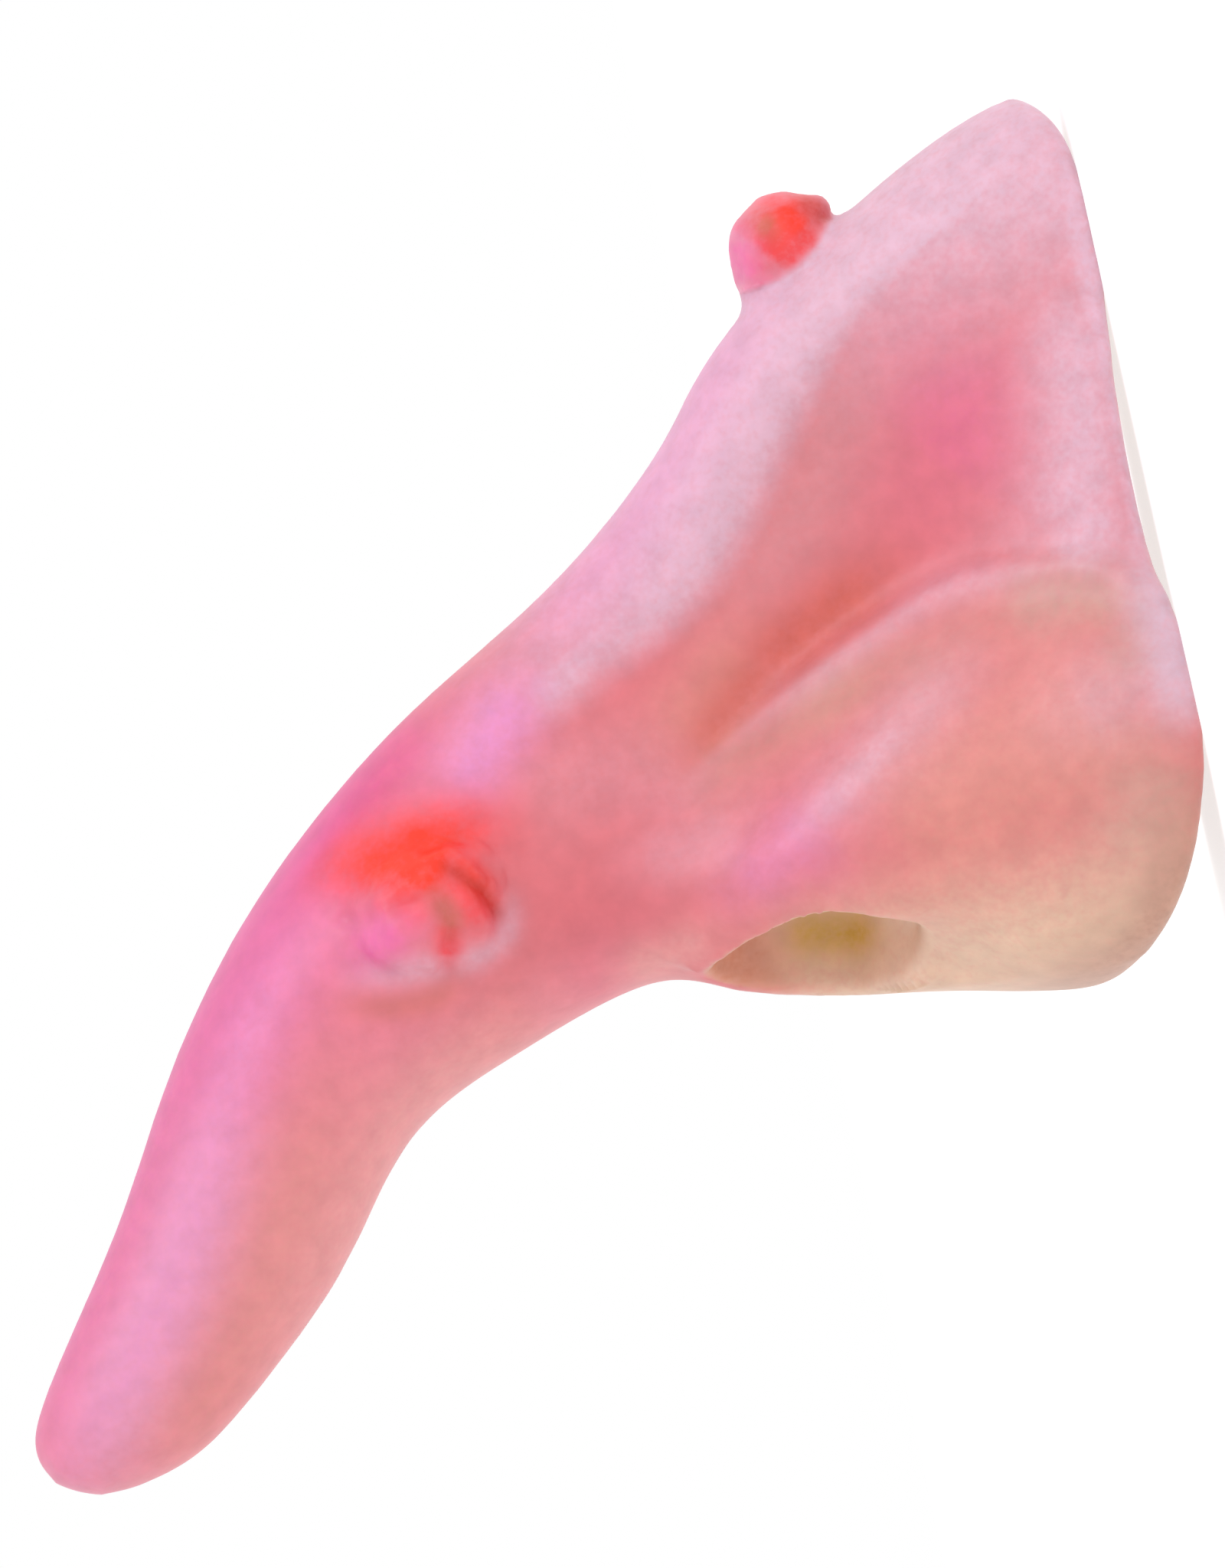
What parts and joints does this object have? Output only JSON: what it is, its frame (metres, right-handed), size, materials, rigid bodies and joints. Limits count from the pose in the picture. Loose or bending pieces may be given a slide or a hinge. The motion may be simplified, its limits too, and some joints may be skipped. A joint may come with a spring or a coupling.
{
  "type": "false witch nose",
  "caption": "Hollow false witch nose of thin pink latex with a long drooping tip, flared wings, nostril pockets and red warts; its open rim is glued over the wearer's nose.",
  "frame": {"origin": "on the plane of the rim's feet, under the middle of the nose's bounding box", "axes": "+Z out of the face along the nose's reach, +Y up towards the brow, +X towards the wearer's left"},
  "size_m": [0.0406, 0.0802, 0.0871],
  "materials": {
    "latex": "semi-matte slip-cast latex, airbrushed pink, salmon and red"
  },
  "bodies": {
    "root": {"nose_shell": "latex"}
  },
  "joints": []
}
